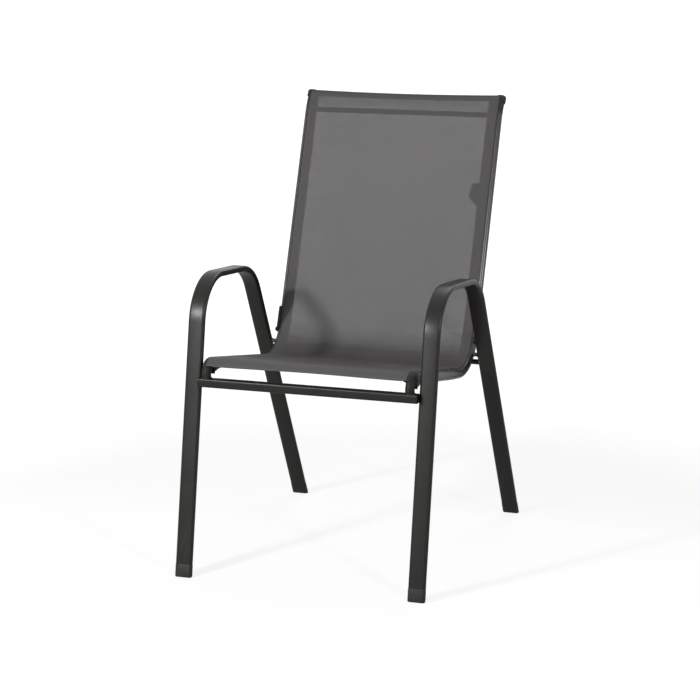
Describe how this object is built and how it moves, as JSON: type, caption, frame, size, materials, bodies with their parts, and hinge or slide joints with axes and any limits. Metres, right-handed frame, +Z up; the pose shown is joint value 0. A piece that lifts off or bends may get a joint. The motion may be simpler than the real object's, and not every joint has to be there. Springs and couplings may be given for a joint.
{
  "type": "sling patio chair",
  "caption": "Stacking patio chair with bent flat-oval side frames that form legs and arms, and a one-piece woven sling stretched between two bent rails for seat and back.",
  "frame": {"origin": "middle of the box round the chair, on the floor", "axes": "+Z up, -Y the way the sitter faces, +X to the right in the picture"},
  "size_m": [0.5436, 0.7016, 0.9374],
  "materials": {
    "frame_paint": "charcoal powder coat, satin",
    "sling_mesh": "open woven coated yarn, grey",
    "cap_plastic": "charcoal moulded plastic, matte",
    "pad_plastic": "black moulded plastic, matte",
    "tag_cloth": "plain grey tape, blank"
  },
  "bodies": {
    "root": {"right_side_frame": "frame_paint", "right_front_foot_cap": "cap_plastic", "right_rear_foot_cap": "cap_plastic", "right_sling_rail": "frame_paint", "right_rail_cap": "cap_plastic", "right_seat_pad": "pad_plastic", "right_stacking_pad": "pad_plastic", "right_link_stub": "frame_paint", "left_side_frame": "frame_paint", "left_front_foot_cap": "cap_plastic", "left_rear_foot_cap": "cap_plastic", "left_sling_rail": "frame_paint", "left_rail_cap": "cap_plastic", "left_seat_pad": "pad_plastic", "left_stacking_pad": "pad_plastic", "left_link_stub": "frame_paint", "front_cross_tube": "frame_paint", "rear_cross_tube": "frame_paint", "top_spreader_bar": "frame_paint", "sling": "sling_mesh", "blank_tag": "tag_cloth"}
  },
  "joints": []
}
